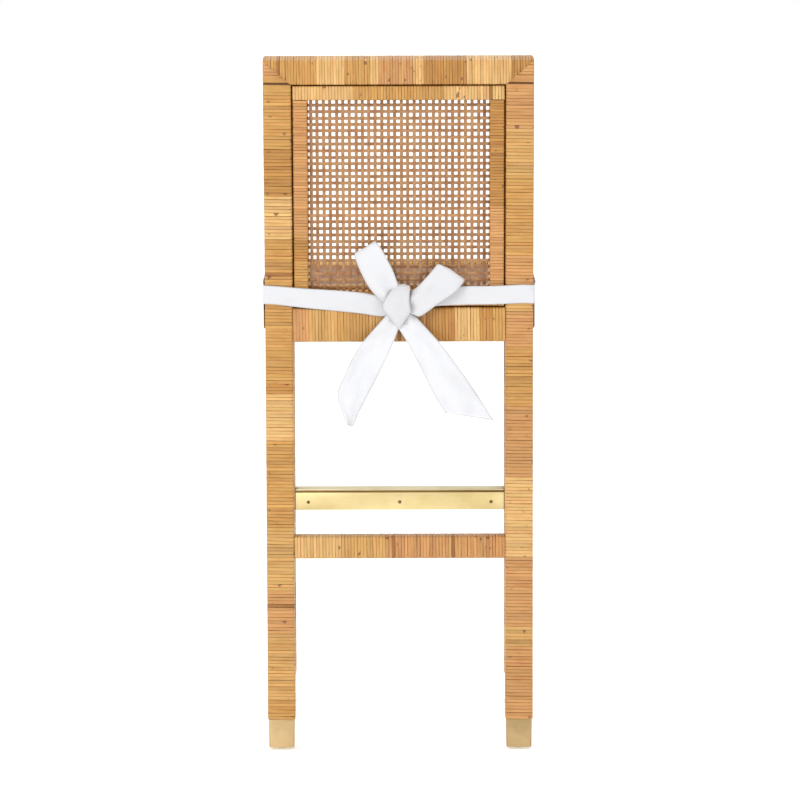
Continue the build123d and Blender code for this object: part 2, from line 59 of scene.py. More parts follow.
CANE_PITCH = (0.01072, 0.01105)  # across and up the back
SEAT_PITCH = 0.0090  # the seat is woven close
CANE_WIDE = 0.0052
CANE_THICK = 0.0008
ROLL = math.radians(0.17)  # the camera is held this far out of level
CORNER = 0.006  # radius of the back's outer top corners
SCREW_HEAD = 0.0030  # radius
SLANT = 0.012  # the turns climb a little as they cross a face

rng = random.Random(4)


# ---------------------------------------------------------------- materials

class Socket:
    """One output in a material's node tree; sums on it add Math nodes."""

    def __init__(self, finish, socket):
        self.finish = finish
        self.socket = socket

    def math(self, operation, *values):
        return self.finish.node("ShaderNodeMath", {"operation": operation}, dict(enumerate(values)))

    def __add__(self, other):
        return self.math("ADD", self, other)

    __radd__ = __add__

    def __sub__(self, other):
        return self.math("SUBTRACT", self, other)

    def __rsub__(self, other):
        return self.math("SUBTRACT", other, self)

    def __mul__(self, other):
        return self.math("MULTIPLY", self, other)

    __rmul__ = __mul__

    def size(self):
        return self.math("ABSOLUTE", self)

    def wave(self):
        return self.math("SINE", self)

    def between(self, low, high):
        """0 below low, 1 above high, smooth in between."""
        values = {"Value": self, "From Min": low, "From Max": high}
        return self.finish.node("ShaderNodeMapRange", {"interpolation_type": "SMOOTHSTEP"}, values)


class Finish:
    """A material under construction around one Principled shader."""

    def __init__(self, name, **fixed):
        self.material = bpy.data.materials.new(name)
        self.material.use_nodes = True
        self.tree = self.material.node_tree
        self.surface = next(n for n in self.tree.nodes if n.type == "BSDF_PRINCIPLED")
        for socket, value in fixed.items():
            self.surface.inputs[socket.replace("_", " ")].default_value = value

    def node(self, kind, settings=None, values=None, out=0):
        """Adds a node, sets it up, links or sets its inputs and gives one output."""
        made = self.tree.nodes.new(kind)
        for key, value in (settings or {}).items():
            setattr(made, key, value)
        for key, value in (values or {}).items():
            if isinstance(value, Socket):
                self.tree.links.new(value.socket, made.inputs[key])
            else:
                made.inputs[key].default_value = value
        return Socket(self, made.outputs[out])

    def place(self):
        """Object coordinates."""
        return self.node("ShaderNodeTexCoord", out="Object")

    def attribute(self, name, out="Fac"):
        return self.node("ShaderNodeAttribute", {"attribute_name": name}, out=out)

    def stretched(self, where, scale):
        """Coordinates multiplied by a scale for each axis."""
        return self.node("ShaderNodeVectorMath", {"operation": "MULTIPLY"}, {0: where, 1: scale})

    def noise(self, where, scale, detail=2.0, rough=0.5):
        values = {"Vector": where, "Scale": scale, "Detail": detail, "Roughness": rough}
        return self.node("ShaderNodeTexNoise", {}, values)

    def along_strand(self, strand, scale, turn, detail, size=1.0):
        """Noise in a strand's own coordinates, different on each turn."""
        values = {"Vector": self.stretched(strand, scale), "W": turn, "Scale": size, "Detail": detail}
        return self.node("ShaderNodeTexNoise", {"noise_dimensions": "4D"}, values)

    def part(self, where, axis):
        """One coordinate of a place."""
        return self.node("ShaderNodeSeparateXYZ", {}, {0: where}, out=axis)

    def mix(self, factor, a, b, blend="MIX"):
        """Mixes two colours."""
        made = self.tree.nodes.new("ShaderNodeMix")
        made.data_type = "RGBA"
        made.blend_type = blend
        for index, value in ((0, factor), (6, a), (7, b)):
            if isinstance(value, Socket):
                self.tree.links.new(value.socket, made.inputs[index])
            elif index == 0:
                made.inputs[index].default_value = value
            else:
                made.inputs[index].default_value = (*value, 1.0)
        return Socket(self, made.outputs[2])

    def set(self, name, value):
        self.tree.links.new(value.socket, self.surface.inputs[name])

    def bump(self, height, strength, distance):
        values = {"Height": height, "Strength": strength, "Distance": distance}
        self.set("Normal", self.node("ShaderNodeBump", {}, values, out="Normal"))


def wound_rattan():
    """Lacquered rattan peel: each turn has its own colour, with fibres along the strand."""
    f = Finish("wound_rattan", Roughness=0.42, Coat_Roughness=0.3, Specular_IOR_Level=0.25)
    strand = f.node("ShaderNodeUVMap", {"uv_map": "strand"}, out="UV")
    across = f.part(strand, "Y")
    shade = f.attribute("shade", "Color")
    turn = f.attribute("turn")
    fibre = f.along_strand(strand, (18.0, 3.0, 1.0), turn * 900.0, 3.0, 3.0)
    blotch = f.along_strand(strand, (26.0, 0.2, 1.0), turn * 300.0, 2.0)
    knot = f.along_strand(strand, (70.0, 0.4, 1.0), turn * 777.0, 0.0).between(0.735, 0.8)
    # partly the dark gap between turns, partly painted shade in the valley between crowned turns: each turn
    # darkens towards both its edges
    edge = (across - 0.5).size() * 2.0
    groove = edge.between(0.74, 1.0)
    tone = f.mix(blotch.between(0.4, 0.72) * 0.55, shade, (0.82, 0.67, 0.48), "MULTIPLY")
    tone = f.mix(fibre.between(0.42, 0.75) * 0.3, tone, (0.78, 0.62, 0.44), "MULTIPLY")
    tone = f.mix(knot * 0.75, tone, (0.11, 0.04, 0.015))
    tone = f.mix(groove * (turn * turn * 0.72 + 0.26), tone, (0.34, 0.17, 0.055), "MULTIPLY")
    f.set("Base Color", tone)
    f.set("Roughness", fibre * 0.18 + 0.34 + groove * 0.25)
    f.set("Coat Weight", 0.16 - groove * 0.16)
    f.bump(fibre * 0.6 + blotch * 0.4, 0.35, 0.0004)
    return f.material


def woven_cane():
    """Thin flat cane: satin, each strand its own colour, with fibres along it."""
    f = Finish("woven_cane", Roughness=0.5)
    strand = f.node("ShaderNodeUVMap", {"uv_map": "strand"}, out="UV")
    shade = f.attribute("shade", "Color")
    turn = f.attribute("turn")
    fibre = f.along_strand(strand, (40.0, 6.0, 1.0), turn * 500.0, 3.0)
    blotch = f.along_strand(strand, (55.0, 0.3, 1.0), turn * 90.0, 1.0)
    tone = f.mix(blotch.between(0.45, 0.68) * 0.8, shade, (0.66, 0.48, 0.32), "MULTIPLY")
    tone = f.mix(fibre.between(0.45, 0.75) * 0.55, tone, (0.66, 0.48, 0.32), "MULTIPLY")
    f.set("Base Color", tone)
    f.set("Roughness", fibre * 0.2 + 0.4)
    f.bump(fibre, 0.3, 0.0002)
    return f.material


def plain_wood(name, light, dark, axis_scale, roughness, shine=0.5):
    """Planed timber with grain along one axis."""
    f = Finish(name, Roughness=roughness, Specular_IOR_Level=shine)
    where = f.stretched(f.place(), axis_scale)
    rings = f.noise(where, 1.0, 4.0, 0.6)
    pores = f.noise(f.stretched(where, (4.0, 4.0, 4.0)), 1.0, 2.0, 0.5)
    tone = f.mix(rings.between(0.35, 0.65), light, dark)
    tone = f.mix(pores.between(0.55, 0.75) * 0.4, tone, dark)
    f.set("Base Color", tone)
    f.bump(pores, 0.2, 0.0003)
    return f.material


def satin_brass(name, light, dark, shade_right=0.0):
    """Satin brass with fine brushing and a little tarnish; the last argument paints shade on the right-hand
    side, towards +X.
    """
    f = Finish(name, Metallic=1.0)
    where = f.place()
    brush = f.noise(f.stretched(where, (14.0, 700.0, 900.0)), 1.0, 2.0, 0.5)
    cloud = f.noise(where, 22.0, 3.0, 0.55)
    tone = f.mix(cloud.between(0.35, 0.75), light, dark)
    tone = f.mix(brush.between(0.4, 0.8) * 0.25, tone, dark)
    # painted shade: the brass darkens towards +X, so the right-hand ferrules look shaded
    right = f.part(where, "X").between(-0.15, 0.15)
    tone = f.mix(right * shade_right, tone, (0.45, 0.42, 0.36), "MULTIPLY")
    f.set("Base Color", tone)
    f.set("Roughness", brush * 0.10 + cloud * 0.08 + 0.42)
    f.bump(brush, 0.12, 0.0002)
    return f.material


def dark_metal(name, low, high):
    """The metal of screws."""
    f = Finish(name, Metallic=0.9)
    grain = f.noise(f.place(), 500.0, 2.0, 0.5)
    f.set("Base Color", f.mix(grain, low, high))
    f.set("Roughness", grain * 0.2 + 0.3)
    return f.material


THREAD_PITCH = 0.0009
STITCH_INSET = 0.0028
STITCH_PITCH = 0.0032


def canvas():
    """White cotton canvas with a fine weave, soft creases, a hem and a row of stitches by each edge; painted
    shade darkens the creases, the sunken stitch lines and each piece by its own share.
    """
    f = Finish("canvas", Roughness=0.85, Sheen_Weight=0.25, Sheen_Roughness=0.5)
    cloth = f.node("ShaderNodeUVMap", {"uv_map": "cloth"}, out="UV")
    u, v = f.part(cloth, "X"), f.part(cloth, "Y")
    thread = 2 * math.pi / THREAD_PITCH
    weft = (u * thread).wave() * 0.5 + 0.5
    warp = (v * thread).wave() * 0.5 + 0.5
    weave = weft * warp
    slub = f.noise(f.stretched(cloth, (900.0, 120.0, 1.0)), 1.0, 2.0, 0.5)
    edge = f.attribute("edge")  # metres from the nearer long edge
    seam = 1.0 - (edge - STITCH_INSET).size().between(0.0002, 0.0007)
    dash = (v * (2 * math.pi / STITCH_PITCH)).wave().between(-0.5, -0.1)
    stitch = seam * dash
    tone = f.mix(weave * 0.5, (0.597, 0.600, 0.620), (0.635, 0.638, 0.655))
    tone = f.mix(slub.between(0.5, 0.8) * 0.25, tone, (0.49, 0.495, 0.522))
    # painted shade: the sunken stitch line darkens between the stitches
    tone = f.mix(seam * (1.0 - dash) * 0.5, tone, (0.44, 0.44, 0.48))
    tone = f.mix(stitch * 0.7, tone, (0.72, 0.72, 0.74))
    crease_and_shade = f.noise(f.stretched(cloth, (34.0, 16.0, 1.0)), 1.0, 1.0, 0.4)
    # painted shade: the canvas darkens along the creases where the same noise bumps the cloth
    tone = f.mix(crease_and_shade.between(0.45, 0.75) * 0.3, tone, (0.80, 0.80, 0.81), "MULTIPLY")
    hem = 1.0 - edge.between(0.0006, 0.0016)
    tone = f.mix(hem * 0.6, tone, (0.72, 0.69, 0.64), "MULTIPLY")
    # painted shade: each ribbon piece keeps only its own share of the canvas's colour, least at the knot and
    # most on the tails
    painted_light_factor = f.attribute("painted_light")
    tone = f.mix(1.0, tone, f.mix(painted_light_factor, (0.0, 0.0, 0.0), (1.0, 1.0, 1.0)), "MULTIPLY")
    f.set("Base Color", tone)
    f.bump(weave * 0.12 + slub * 0.15 - seam * 0.7 + stitch * 0.8 + crease_and_shade * 9.0, 0.5, 0.0005)
    return f.material


# ------------------------------------------------------------ mesh helpers

def deselect():
    """Nothing is selected and object mode is on."""
    if bpy.context.object and bpy.context.object.mode != "OBJECT":
        bpy.ops.object.mode_set(mode="OBJECT")
    bpy.ops.object.select_all(action="DESELECT")


def activate(piece):
    deselect()
    piece.select_set(True)
    bpy.context.view_layer.objects.active = piece


def pick(piece, kind, wanted):
    """In edit mode, selects exactly the faces or edges that a test wants."""
    bpy.ops.object.mode_set(mode="EDIT")
    bpy.ops.mesh.select_mode(type=kind)
    bpy.ops.mesh.select_all(action="DESELECT")
    bpy.ops.object.mode_set(mode="OBJECT")
    mesh = piece.data
    if kind == "FACE":
        for face in mesh.polygons:
            face.select = wanted(face)
    else:
        for edge in mesh.edges:
            ends = [mesh.vertices[i].co for i in edge.vertices]
            edge.select = wanted(*ends)
    bpy.ops.object.mode_set(mode="EDIT")


def new_box(name, size, place=(0, 0, 0)):
    """A box primitive of a size, centred at a place, with its place in its mesh."""
    deselect()
    bpy.ops.mesh.primitive_cube_add(size=1.0, location=place)
    piece = bpy.context.object
    piece.name = name
    piece.scale = size
    bpy.ops.object.transform_apply(location=True, rotation=True, scale=True)
    return piece


def smooth(piece, degrees=40):
    activate(piece)
    bpy.ops.object.shade_smooth_by_angle(angle=math.radians(degrees))


def dress(piece, material):
    """The piece shows one material."""
    piece.data.materials.clear()
    piece.data.materials.append(material)


def cut_away(piece, point, normal):
    """Removes what lies on the normal's side of a plane and closes the cut."""
    activate(piece)
    bpy.ops.object.mode_set(mode="EDIT")
    bpy.ops.mesh.select_mode(type="VERT")
    bpy.ops.mesh.select_all(action="SELECT")
    bpy.ops.mesh.bisect(plane_co=point, plane_no=normal, use_fill=True, clear_outer=True)
    bpy.ops.object.mode_set(mode="OBJECT")


def join(pieces, name):
    """Joins pieces into one object."""
    deselect()
    for piece in pieces:
        piece.select_set(True)
    bpy.context.view_layer.objects.active = pieces[0]
    bpy.ops.object.join()
    made = bpy.context.object
    made.name = name
    return made


def put(name, mesh):
    """A new object that shows a mesh."""
    piece = bpy.data.objects.new(name, mesh)
    bpy.context.collection.objects.link(piece)
    return piece


def stands_for(piece, material, slot, *nodes):
    """Places a finished piece in the stool: its body, material and the nodes it replaces; slot is not used.
    """
    dress(piece, material)
    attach(piece, "root")
    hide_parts(*nodes)


# --------------------------------------------------------------- windings

BROWN = (0.260, 0.115, 0.030)
PALETTE = [
    (0.440, 0.236, 0.066),  # golden
    (0.455, 0.232, 0.084),  # peach
    (0.545, 0.335, 0.128),  # cream
    (0.375, 0.183, 0.045),  # ochre
    (0.480, 0.276, 0.090),  # straw
    BROWN,
]
PALETTE_WEIGHTS = [5, 3, 3, 2.4, 4, 0.9]
# painted shade: near-black for the narrow sunken turn at a winding's seam
SEAM_SHADE = (0.11, 0.045, 0.012)
turn_cache = {}


def one_turn(wide, deep, thick, pitch, corner):
    """One turn of rattan round a bar: a closed ring with a crowned outer face."""
    key = (round(wide, 5), round(deep, 5), round(thick, 5), round(pitch, 5))
    if key in turn_cache:
        return turn_cache[key]
    turn = new_box("turn", (wide, deep, pitch))
    pick(turn, "EDGE", lambda a, b: abs(a.z - b.z) > pitch / 2)
    bpy.ops.mesh.bevel(offset=corner, segments=3, affect="EDGES")
    crown = min(thick * 0.62, pitch * 0.2)
    bpy.ops.object.mode_set(mode="OBJECT")
    pick(turn, "EDGE", lambda a, b: abs(a.z - b.z) < 1e-6)
    bpy.ops.mesh.bevel(offset=crown, segments=3, affect="EDGES")
    bpy.ops.object.mode_set(mode="OBJECT")
    pick(turn, "FACE", lambda face: abs(face.normal.z) > 0.99 and face.area > wide * deep / 3)
    bpy.ops.mesh.inset(thickness=thick - crown)
    bpy.ops.object.mode_set(mode="OBJECT")
    pick(turn, "FACE", lambda face: abs(face.normal.z) > 0.99 and face.area > wide * deep / 3)
    bpy.ops.mesh.delete(type="ONLY_FACE")
    bpy.ops.object.mode_set(mode="OBJECT")
    half_w, half_d = wide / 2 - thick + 1e-4, deep / 2 - thick + 1e-4
    pick(turn, "EDGE", lambda a, b: abs(a.z - b.z) < 1e-6
         and all(abs(p.x) < half_w and abs(p.y) < half_d for p in (a, b)))
    bpy.ops.mesh.bridge_edge_loops()
    bpy.ops.mesh.select_all(action="SELECT")
    bpy.ops.mesh.normals_make_consistent(inside=False)
    bpy.ops.object.mode_set(mode="OBJECT")
    mesh = turn.data
    lay_strand(mesh, wide, deep, pitch)
    for face in mesh.polygons:
        face.use_smooth = True
    bpy.data.objects.remove(turn)
    turn_cache[key] = mesh
    return mesh


def round_place(x, y, wide, deep):
    """How far round a bar's outline a point lies, in metres, from its -X -Y corner."""
    if abs(y) * wide >= abs(x) * deep:
        return x + wide / 2 if y < 0 else wide + deep + wide / 2 - x
    return wide + y + deep / 2 if x > 0 else 2 * wide + deep + deep / 2 - y


def lay_strand(mesh, wide, deep, pitch):
    """A UV map with metres along the strand and 0 to 1 across it, and the colour."""
    layer = mesh.uv_layers.new(name="strand")
    length = 2 * (wide + deep)
    for face in mesh.polygons:
        start = round_place(face.center.x, face.center.y, wide, deep)
        for loop in face.loop_indices:
            point = mesh.vertices[mesh.loops[loop].vertex_index].co
            along = round_place(point.x, point.y, wide, deep)
            if along - start > length / 2:
                along -= length
            elif start - along > length / 2:
                along += length
            layer.data[loop].uv = (along, point.z / pitch + 0.5)
    add_colour(mesh)


def add_colour(mesh):
    """The attributes that hold a strand's colour and its random number."""
    mesh.attributes.new("shade", "FLOAT_COLOR", "POINT")
    mesh.attributes.new("turn", "FLOAT", "POINT")


def paint(mesh, shade, turn):
    """Gives a whole mesh one colour and one random number."""
    count = len(mesh.vertices)
    mesh.attributes["shade"].data.foreach_set("color", [*shade, 1.0] * count)
    mesh.attributes["turn"].data.foreach_set("value", [turn] * count)


def lengths_of_peel(count):
    """A colour for each turn: one length of peel covers several turns and then another starts."""
    shades = []
    while len(shades) < count:
        base = rng.choices(PALETTE, PALETTE_WEIGHTS)[0]
        for _ in range(rng.randint(3, 22)):
            colour = BROWN if rng.random() < 0.02 else base
            light = rng.gauss(1.0, 0.07)
            shades.append(tuple(min(1.0, c * light * rng.gauss(1.0, 0.015)) for c in colour))
    return shades[:count]


def wind(name, place, length, section, thick, pitch, corner, cuts=(), seam=None):
    """Winds a bar. place(distance) gives the turn's matrix; cuts are planes to trim the ends.

    seam is the distance of a narrow sunken turn, where one winding ends and the next starts; that turn is
    painted near-black, as painted shade in the crevice."""
    wide, deep = section
    count = max(3, round(length / pitch))
    step = length / count
    model = one_turn(wide, deep, thick, pitch, corner)
    shades = lengths_of_peel(count)
    turns = []
    for k in range(count):
        mesh = model.copy()
        width = step / pitch * rng.uniform(0.97, 1.06)
        swell = rng.uniform(-0.00016, 0.00006)
        shade = shades[k]
        if seam is not None and abs(k - seam // step) <= 1:
            width *= 1.42
            # the seam turn is narrow, sunken and painted near-black: painted shade in the crevice
            if k == seam // step:
                width, swell, shade = 0.24, -0.0006, SEAM_SHADE
        grow = Matrix.Diagonal((1 + 2 * swell / wide, 1 + 2 * swell / deep, width, 1))
        tilt = Matrix.Rotation(rng.gauss(0, 0.006), 4, "X")
        tilt = tilt @ Matrix.Rotation(rng.gauss(SLANT, 0.006), 4, "Y")
        mesh.transform(place((k + 0.5) * step) @ tilt @ grow)
        paint(mesh, shade, rng.random())
        turns.append(put("turn", mesh))
    wound = join(turns, name)
    for point, normal in cuts:
        cut_away(wound, point, normal)
    return wound


def straight(start, along, across):
    """Matrices along a straight bar: local Z runs along it and local X across it."""
    z = Vector(along).normalized()
    x = (Vector(across) - z * z.dot(Vector(across))).normalized()
    y = z.cross(x)
    turn = Matrix((x, y, z)).transposed().to_4x4()

    def place(distance):
        return Matrix.Translation(Vector(start) + z * distance) @ turn

    return place


REAR_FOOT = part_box("ferrule_rear_left")
LEG_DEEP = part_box("front_leg_wrap_left")[1].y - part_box("front_leg_wrap_left")[0].y
REAR_Y = (REAR_FOOT[0].y + REAR_FOOT[1].y) / 2 - LEG_DEEP / 2
BACK = Matrix.Translation((0, REAR_Y, BEND_Z)) @ Matrix.Rotation(RAKE, 4, "X")


def leaning_box(node):
    """Lowest and highest corners of a node in the back's own leaning frame."""
    unlean = BACK.inverted()
    points = [unlean @ v.co for v in frame["nodes"][node].data.vertices]
    low = Vector([min(p[i] for p in points) for i in range(3)])
    high = Vector([max(p[i] for p in points) for i in range(3)])
    return low, high


def lean_direction(vector):
    return BACK.to_3x3() @ Vector(vector)


def post_place(x, bottom):
    """Matrices up a rear post: upright, eased round its bend, then leaning."""
    middle = LEG_DEEP / 2
    bend = Vector((x, REAR_Y + middle, BEND_Z + middle * math.tan(RAKE / 2)))
    radius = BEND_REACH / math.tan(RAKE / 2)
    arc = radius * RAKE
    first = bend.z - BEND_REACH - bottom

    def place(distance):
        if distance < first:
            return Matrix.Translation((x, bend.y, bottom + distance))
        turned = min(distance - first, arc) / radius
        rest = max(0.0, distance - first - arc)
        start = Vector((x, bend.y, bottom + first))
        spot = start + Vector((0, -radius * (1 - math.cos(turned)), radius * math.sin(turned)))
        spot += rest * Vector((0, -math.sin(turned), math.cos(turned)))
        return Matrix.Translation(spot) @ Matrix.Rotation(turned, 4, "X")

    return place, first + arc - BEND_REACH


def round_corners(high):
    """Planes that round the back's two outer top corners."""
    planes = []
    for sign in (-1, 1):
        for degrees in (22.5, 45.0, 67.5):
            angle = math.radians(degrees)
            way = Vector((sign * math.sin(angle), 0, math.cos(angle)))
            inside = Vector((sign * (high.x - CORNER), 0, high.z - CORNER))
            planes.append((BACK @ (inside + way * CORNER), lean_direction(way)))
    return planes


def wind_all(rattan):
    """Every winding of the stool."""
    made = []
    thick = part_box("rear_post_left")[0].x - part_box("rear_post_wrap_left")[0].x
    crest_low, crest_high = leaning_box("crest_rail_wrap")
    wide_crest = crest_high.z - crest_low.z
    for side, sign in (("left", -1), ("right", 1)):
        node = f"rear_post_wrap_{side}"
        low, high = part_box(node)
        bar = high.x - low.x
        x = (low.x + high.x) / 2
        place, straight_length = post_place(x, low.z)
        length = straight_length + crest_high.z - LEG_DEEP / 2 * math.tan(RAKE / 2) + 0.0005
        corner = BACK @ Vector((sign * crest_high.x, 0, crest_high.z))
        normal = lean_direction((-sign * wide_crest, 0, bar)).normalized()
        cap = (BACK @ Vector((0, 0, crest_high.z)), lean_direction((0, 0, 1)))
        below_crest = length - wide_crest + SEAM_SETBACK
        wound = wind(node, place, length, (bar, LEG_DEEP), thick, LEG_PITCH, BAR_ROUND,
                     [(corner, normal), cap, *round_corners(crest_high)], below_crest)
        made.append((wound, node))

        node = f"front_leg_wrap_{side}"
        low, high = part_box(node)
        start = ((low.x + high.x) / 2, (low.y + high.y) / 2, low.z)
        place = straight(start, (0, 0, 1), (1, 0, 0))
        wound = wind(node, place, high.z - low.z, (bar, LEG_DEEP), thick, LEG_PITCH, BAR_ROUND)
        made.append((wound, node))

    # crest, mitred to the posts
    start = BACK @ Vector((crest_low.x, (crest_low.y + crest_high.y) / 2, crest_high.z - wide_crest / 2))
    place = straight(start, lean_direction((1, 0, 0)), lean_direction((0, 0, 1)))
    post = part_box("rear_post_wrap_left")
    bar = post[1].x - post[0].x
    cuts = []
    for sign in (-1, 1):
        corner = BACK @ Vector((sign * crest_high.x, 0, crest_high.z))
        cuts.append((corner, lean_direction((sign * wide_crest, 0, -bar)).normalized()))
    wound = wind("crest_rail_wrap", place, crest_high.x - crest_low.x, (wide_crest, LEG_DEEP),
                 thick, CREST_PITCH, BAR_ROUND, [*cuts, *round_corners(crest_high)])
    made.append((wound, "crest_rail_wrap"))

    # lower rail
    low, high = leaning_box("back_lower_rail_wrap")
    start = BACK @ Vector((low.x, (low.y + high.y) / 2, (low.z + high.z) / 2))
    place = straight(start, (1, 0, 0), lean_direction((0, 0, 1)))
    section = (high.z - low.z, high.y - low.y)
    wound = wind("back_lower_rail_wrap", place, high.x - low.x, section, thick, RAIL_PITCH, BAR_ROUND)
    made.append((wound, "back_lower_rail_wrap"))

    made += wind_panel()
    made += wind_seat(thick)
    made += wind_stretchers(thick)
    for wound, node in made:
        stands_for(wound, rattan, "rattan", node)


def wind_panel():
    """The four bars of the cane panel."""
    made = []
    top_low, top_high = leaning_box("panel_rail_wrap_top")
    low_low, low_high = leaning_box("panel_rail_wrap_bottom")
    bar = top_high.z - top_low.z
    thick = leaning_box("panel_stile_left")[0].x - leaning_box("panel_stile_wrap_left")[0].x
    half, high, low = top_high.x, top_high.z, low_low.z
    mid_y = (top_low.y + top_high.y) / 2
    section = (bar, top_high.y - top_low.y)
    for place_name, u in (("top", high - bar / 2), ("bottom", low + bar / 2)):
        node = f"panel_rail_wrap_{place_name}"
        place = straight(BACK @ Vector((-half, mid_y, u)), (1, 0, 0), lean_direction((0, 0, 1)))
        made.append((wind(node, place, 2 * half, section, thick, PANEL_PITCH, PANEL_ROUND), node))
    for side, sx in (("left", -1), ("right", 1)):
        node = f"panel_stile_wrap_{side}"
        start = BACK @ Vector((sx * (half - bar / 2), mid_y, low + bar))
        place = straight(start, lean_direction((0, 0, 1)), (1, 0, 0))
        made.append((wind(node, place, high - low - 2 * bar, section, thick, PANEL_PITCH, PANEL_ROUND), node))
    return made


def corner_points(node):
    """The plan corners of a seat rail's winding: (least x at its back, at its front, ...)."""
    points = [v.co for v in frame["nodes"][node].data.vertices]
    low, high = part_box(node)
    back = [p.x for p in points if p.y < low.y + 0.0005]
    front = [p.x for p in points if p.y > high.y - 0.0005]
    return min(back), max(back), min(front), max(front)


def wind_seat(thick):
    """The seat's four rails: the front corners are mitred, the side rails stop at the posts."""
    made = []
    low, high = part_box("seat_rail_wrap_front")
    deep, tall = high.y - low.y, high.z - low.z
    mid_z = (low.z + high.z) / 2
    _, in_right, out_left, out_right = corner_points("seat_rail_wrap_front")
    mitre = Vector((out_right - in_right, deep, 0))
    place = straight((out_left, low.y + deep / 2, mid_z), (1, 0, 0), (0, 1, 0))
    cuts = []
    for sx in (-1, 1):
        tip = Vector((sx * out_right, high.y, 0))
        cuts.append((tip, Vector((sx * mitre.y, -mitre.x, 0)).normalized()))
    wound = wind("seat_rail_wrap_front", place, out_right - out_left, (deep, tall), thick,
                 RAIL_PITCH, BAR_ROUND, cuts)
    made.append((wound, "seat_rail_wrap_front"))

    face = BACK @ Vector((0, LEG_DEEP, 0))
    for side, sx in (("left", -1), ("right", 1)):
        node = f"seat_rail_wrap_{side}"
        high_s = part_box(node)[1]
        points = [v.co for v in frame["nodes"][node].data.vertices]
        rear = min(p.y for p in points)
        outer_rear = max(abs(p.x) for p in points if p.y < rear + 0.012 and p.z > mid_z)
        direction = Vector((sx * (out_right - outer_rear), high_s.y - rear, 0)).normalized()
        side_way = Vector((direction.y, -direction.x, 0)) * sx
        start = Vector((sx * outer_rear, rear, mid_z)) - side_way * deep / 2
        place = straight(start, direction, side_way)
        length = (high_s.y - rear) / direction.y + 0.002
        cuts = [
            (Vector((sx * out_right, high.y, 0)), Vector((-sx * mitre.y, mitre.x, 0)).normalized()),
            (face, -lean_direction((0, 1, 0))),
        ]
        wound = wind(node, place, length, (deep, tall), thick, RAIL_PITCH, BAR_ROUND, cuts)
        made.append((wound, node))

    low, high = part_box("seat_rail_wrap_rear")
    place = straight((low.x, (low.y + high.y) / 2, mid_z), (1, 0, 0), (0, 1, 0))
    wound = wind("seat_rail_wrap_rear", place, high.x - low.x, (high.y - low.y, tall), thick,
                 RAIL_PITCH, BAR_ROUND)
    made.append((wound, "seat_rail_wrap_rear"))
    return made


def wind_stretchers(thick):
    """Rear and side stretchers."""
    made = []
    low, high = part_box("rear_stretcher_wrap")
    middle = (low + high) / 2
    place = straight((low.x, middle.y, middle.z), (1, 0, 0), (0, 0, 1))
    size = high.z - low.z
    wound = wind("rear_stretcher_wrap", place, high.x - low.x, (size, size), thick, RAIL_PITCH, BAR_ROUND)
    made.append((wound, "rear_stretcher_wrap"))
    for side, sx in (("left", -1), ("right", 1)):
        node = f"side_stretcher_wrap_{side}"
        back_a, back_b, front_a, front_b = corner_points(node)
        low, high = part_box(node)
        start = Vector(((back_a + back_b) / 2, low.y, (low.z + high.z) / 2))
        end = Vector(((front_a + front_b) / 2, high.y, start.z))
        along = (end - start).normalized()
        place = straight(start - along * 0.001, along, (1, 0, 0))
        wound = wind(node, place, (end - start).length + 0.002, (size, size), thick, RAIL_PITCH, BAR_ROUND,
                     [(start, (0, -1, 0)), (end, (0, 1, 0))])
        made.append((wound, node))
    return made


# -------------------------------------------------------------------- cane

CANE_PALETTE = [
    (0.355, 0.195, 0.085),  # tan
    (0.32, 0.17, 0.072),  # brown
    (0.40, 0.23, 0.105),  # straw
    (0.27, 0.135, 0.055),  # dark brown
    (0.38, 0.21, 0.093),  # honey
]
CANE_WEIGHTS = [5, 3, 3, 1.5, 4]
LOOSE = 0.7  # a strand narrower than this share of the pitch leaves holes


def one_strand(length, wide, pitch):
    """A flat strand of cane along X, thinned at its edges and cut into short stretches."""
    strand = new_box("strand", (length, wide, CANE_THICK))
    if wide < pitch * LOOSE:
        pick(strand, "EDGE", lambda a, b: abs(a.x - b.x) > length / 2)
        bpy.ops.mesh.bevel(offset=CANE_THICK * 0.36, segments=1, affect="EDGES")
        bpy.ops.object.mode_set(mode="OBJECT")
    stretches = max(8, round(length / pitch * 4))
    pick(strand, "EDGE", lambda a, b: abs(a.x - b.x) > length / 2)
    bpy.ops.mesh.subdivide(number_cuts=stretches - 1, quadcorner="INNERVERT")
    bpy.ops.object.mode_set(mode="OBJECT")
    mesh = strand.data
    layer = mesh.uv_layers.new(name="strand")
    for face in mesh.polygons:
        for loop in face.loop_indices:
            point = mesh.vertices[mesh.loops[loop].vertex_index].co
            layer.data[loop].uv = (point.x, point.y / wide + 0.5)
    add_colour(mesh)
    for face in mesh.polygons:
        face.use_smooth = wide < pitch * LOOSE
    bpy.data.objects.remove(strand)
    return mesh


